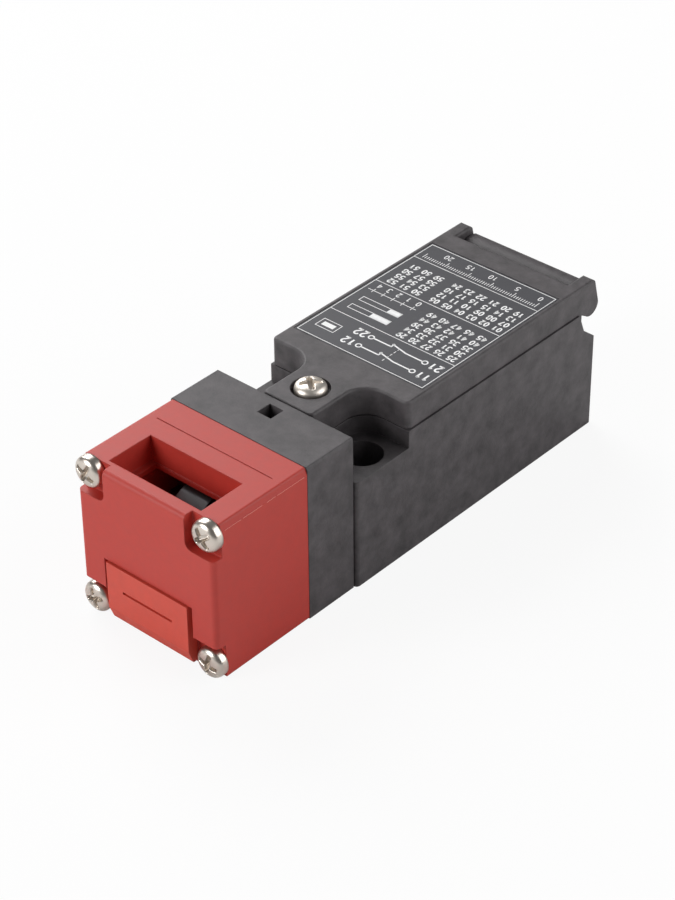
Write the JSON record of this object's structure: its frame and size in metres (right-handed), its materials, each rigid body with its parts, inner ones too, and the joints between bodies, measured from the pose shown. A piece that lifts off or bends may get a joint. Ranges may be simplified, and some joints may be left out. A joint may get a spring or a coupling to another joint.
{
  "type": "tongue interlock switch",
  "caption": "Key-operated safety switch: red head with tongue slots and cam, narrow black housing, hinged screwed cover, contact block and threaded cable entry.",
  "frame": {"origin": "on the mounting face, midway between the two mounting holes", "axes": "+X across the switch, +Y towards the cable entry, +Z out of the mounting face towards the cover"},
  "size_m": [0.0313, 0.0981, 0.0315],
  "materials": {
    "head_red": "fine texture",
    "body_black": "fine texture",
    "label_black": "satin film",
    "nickel_steel": "bright",
    "steel": "satin",
    "cam_grey": "satin",
    "slider_white": "satin",
    "seal_rubber": "matt",
    "insert_brass": "satin",
    "contact_brass": "satin",
    "block_grey": "satin",
    "print_white": "satin"
  },
  "bodies": {
    "base": {"head_shell": "head_red", "head_screws": "nickel_steel", "cam_axle": "steel", "guide_bush": "slider_white", "plunger_seal": "seal_rubber", "plunger_spring": "steel", "head_base": "body_black", "base_screws": "steel", "housing": "body_black", "cover_insert": "insert_brass", "block_case": "block_grey", "block_lid": "block_grey", "carrier_spring": "steel", "fixed_contacts": "contact_brass", "terminal_clamps": "steel", "terminal_screws": "steel", "block_screws": "steel"},
    "cover": {"cover": "body_black", "cover_gasket": "seal_rubber", "label_plate": "label_black"},
    "cover_screw": {"cover_screw": "nickel_steel", "cover_screw_ring": "steel"},
    "cam": {"cam_rotor": "cam_grey"},
    "plunger": {"plunger": "slider_white", "contact_carrier": "slider_white", "contact_bridges": "contact_brass", "contact_springs": "steel"},
    "slot_cap": {"slot_cap": "head_red"}
  },
  "joints": [
    {"name": "cover_hinge", "type": "hinge", "parent": "base", "child": "cover", "pos_m": [0, 0.0556, 0.0254], "axis": [-1, 0, 0], "range_deg": [0, 100]},
    {"name": "cover_screw_lift", "type": "slide", "parent": "cover", "child": "cover_screw", "axis": [0, 0, 1], "range_m": [0, 0.004]},
    {"name": "cam_turn", "type": "hinge", "parent": "base", "child": "cam", "pos_m": [0, -0.0248, 0.0155], "axis": [1, 0, 0], "range_deg": [0, 67]},
    {"name": "plunger_slide", "type": "slide", "parent": "base", "child": "plunger", "axis": [0, -1, 0], "range_m": [0, 0.004], "deforming": ["plunger_spring", "carrier_spring"]},
    {"name": "slot_cap_pull", "type": "slide", "parent": "base", "child": "slot_cap", "axis": [0, -1, 0], "range_m": [0, 0.008]}
  ],
  "couplings": [
    {"joint": "cam_turn", "follows": "plunger_slide", "rad_per_m": 292.34}
  ]
}
